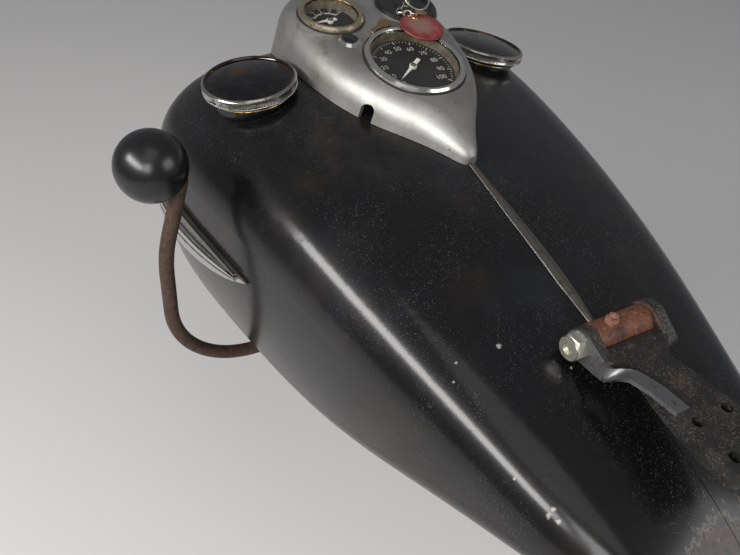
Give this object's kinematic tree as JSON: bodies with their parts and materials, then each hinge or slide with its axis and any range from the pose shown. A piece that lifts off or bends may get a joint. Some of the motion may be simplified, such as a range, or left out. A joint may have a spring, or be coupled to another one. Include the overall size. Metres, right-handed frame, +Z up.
{
  "type": "motorcycle fuel tank with instrument dash",
  "caption": "Two-part teardrop fuel tank for a vintage motorcycle, with instrument dash, filler caps, hand shift lever and saddle hinge on the seam.",
  "frame": {"origin": "middle of the front mounting bore, on the plane between the two halves", "axes": "+X forward along the motorcycle, +Y to the rider's left, +Z up"},
  "size_m": [0.641, 0.4455, 0.3791],
  "materials": {
    "enamel": "aged semi-gloss black enamel",
    "dash": "satin cast aluminium with stains",
    "chrome": "tarnished chrome",
    "neck": "tarnished brass",
    "dial": "black printed dial",
    "pointer": "painted white",
    "glass": "clear glass",
    "switch": "black",
    "key": "worn brass",
    "ring": "tarnished wire",
    "fob": "worn red",
    "moulding": "dull worn strip",
    "rod": "fine brown rust",
    "knob": "glossy black",
    "steel": "worn black enamel",
    "casting": "worn black casting",
    "zinc": "zinc plated",
    "strap": "scratched grey steel",
    "tap": "tarnished brass"
  },
  "bodies": {
    "root": {"tank_left": "enamel", "tank_right": "enamel", "filler_neck_left": "neck", "filler_neck_right": "neck", "seam_moulding": "moulding", "trim_left": "chrome", "trim_right": "chrome", "dash_housing": "dash", "dash_lamp": "chrome", "speedometer_bezel": "chrome", "speedometer_dial": "dial", "speedometer_pointer": "pointer", "speedometer_glass": "glass", "ammeter_bezel": "chrome", "ammeter_dial": "dial", "ammeter_pointer": "pointer", "ammeter_glass": "glass", "ignition_switch": "switch", "ignition_key": "key", "key_ring": "ring", "key_fob": "fob", "shift_bracket": "steel", "hinge_base": "casting", "grease_nipple": "zinc", "front_hanger": "steel", "rear_hanger": "steel", "fuel_tap_left": "tap", "fuel_tap_right": "tap"},
    "shift_lever": {"shift_rod": "rod", "shift_knob": "knob", "shift_arm": "steel"},
    "filler_cap_left": {"cap_left": "chrome"},
    "filler_cap_right": {"cap_right": "chrome"},
    "saddle_carrier": {"saddle_arm": "casting", "saddle_strap": "strap", "hinge_bolt": "zinc"}
  },
  "joints": [
    {"name": "shift_lever_pivot", "type": "hinge", "parent": "root", "child": "shift_lever", "pos_m": [-0.195, 0.08, -0.152], "axis": [0, 1, 0], "range_deg": [-14, 14]},
    {"name": "cap_left_lift", "type": "slide", "parent": "root", "child": "filler_cap_left", "axis": [0.0785, 0.1645, 0.9832], "range_m": [0, 0.08]},
    {"name": "cap_right_lift", "type": "slide", "parent": "root", "child": "filler_cap_right", "axis": [0.0785, -0.1645, 0.9832], "range_m": [0, 0.08]},
    {"name": "saddle_hinge", "type": "hinge", "parent": "root", "child": "saddle_carrier", "pos_m": [-0.4715, 0, 0.071], "axis": [0, 1, 0], "range_deg": [-5, 40]}
  ]
}
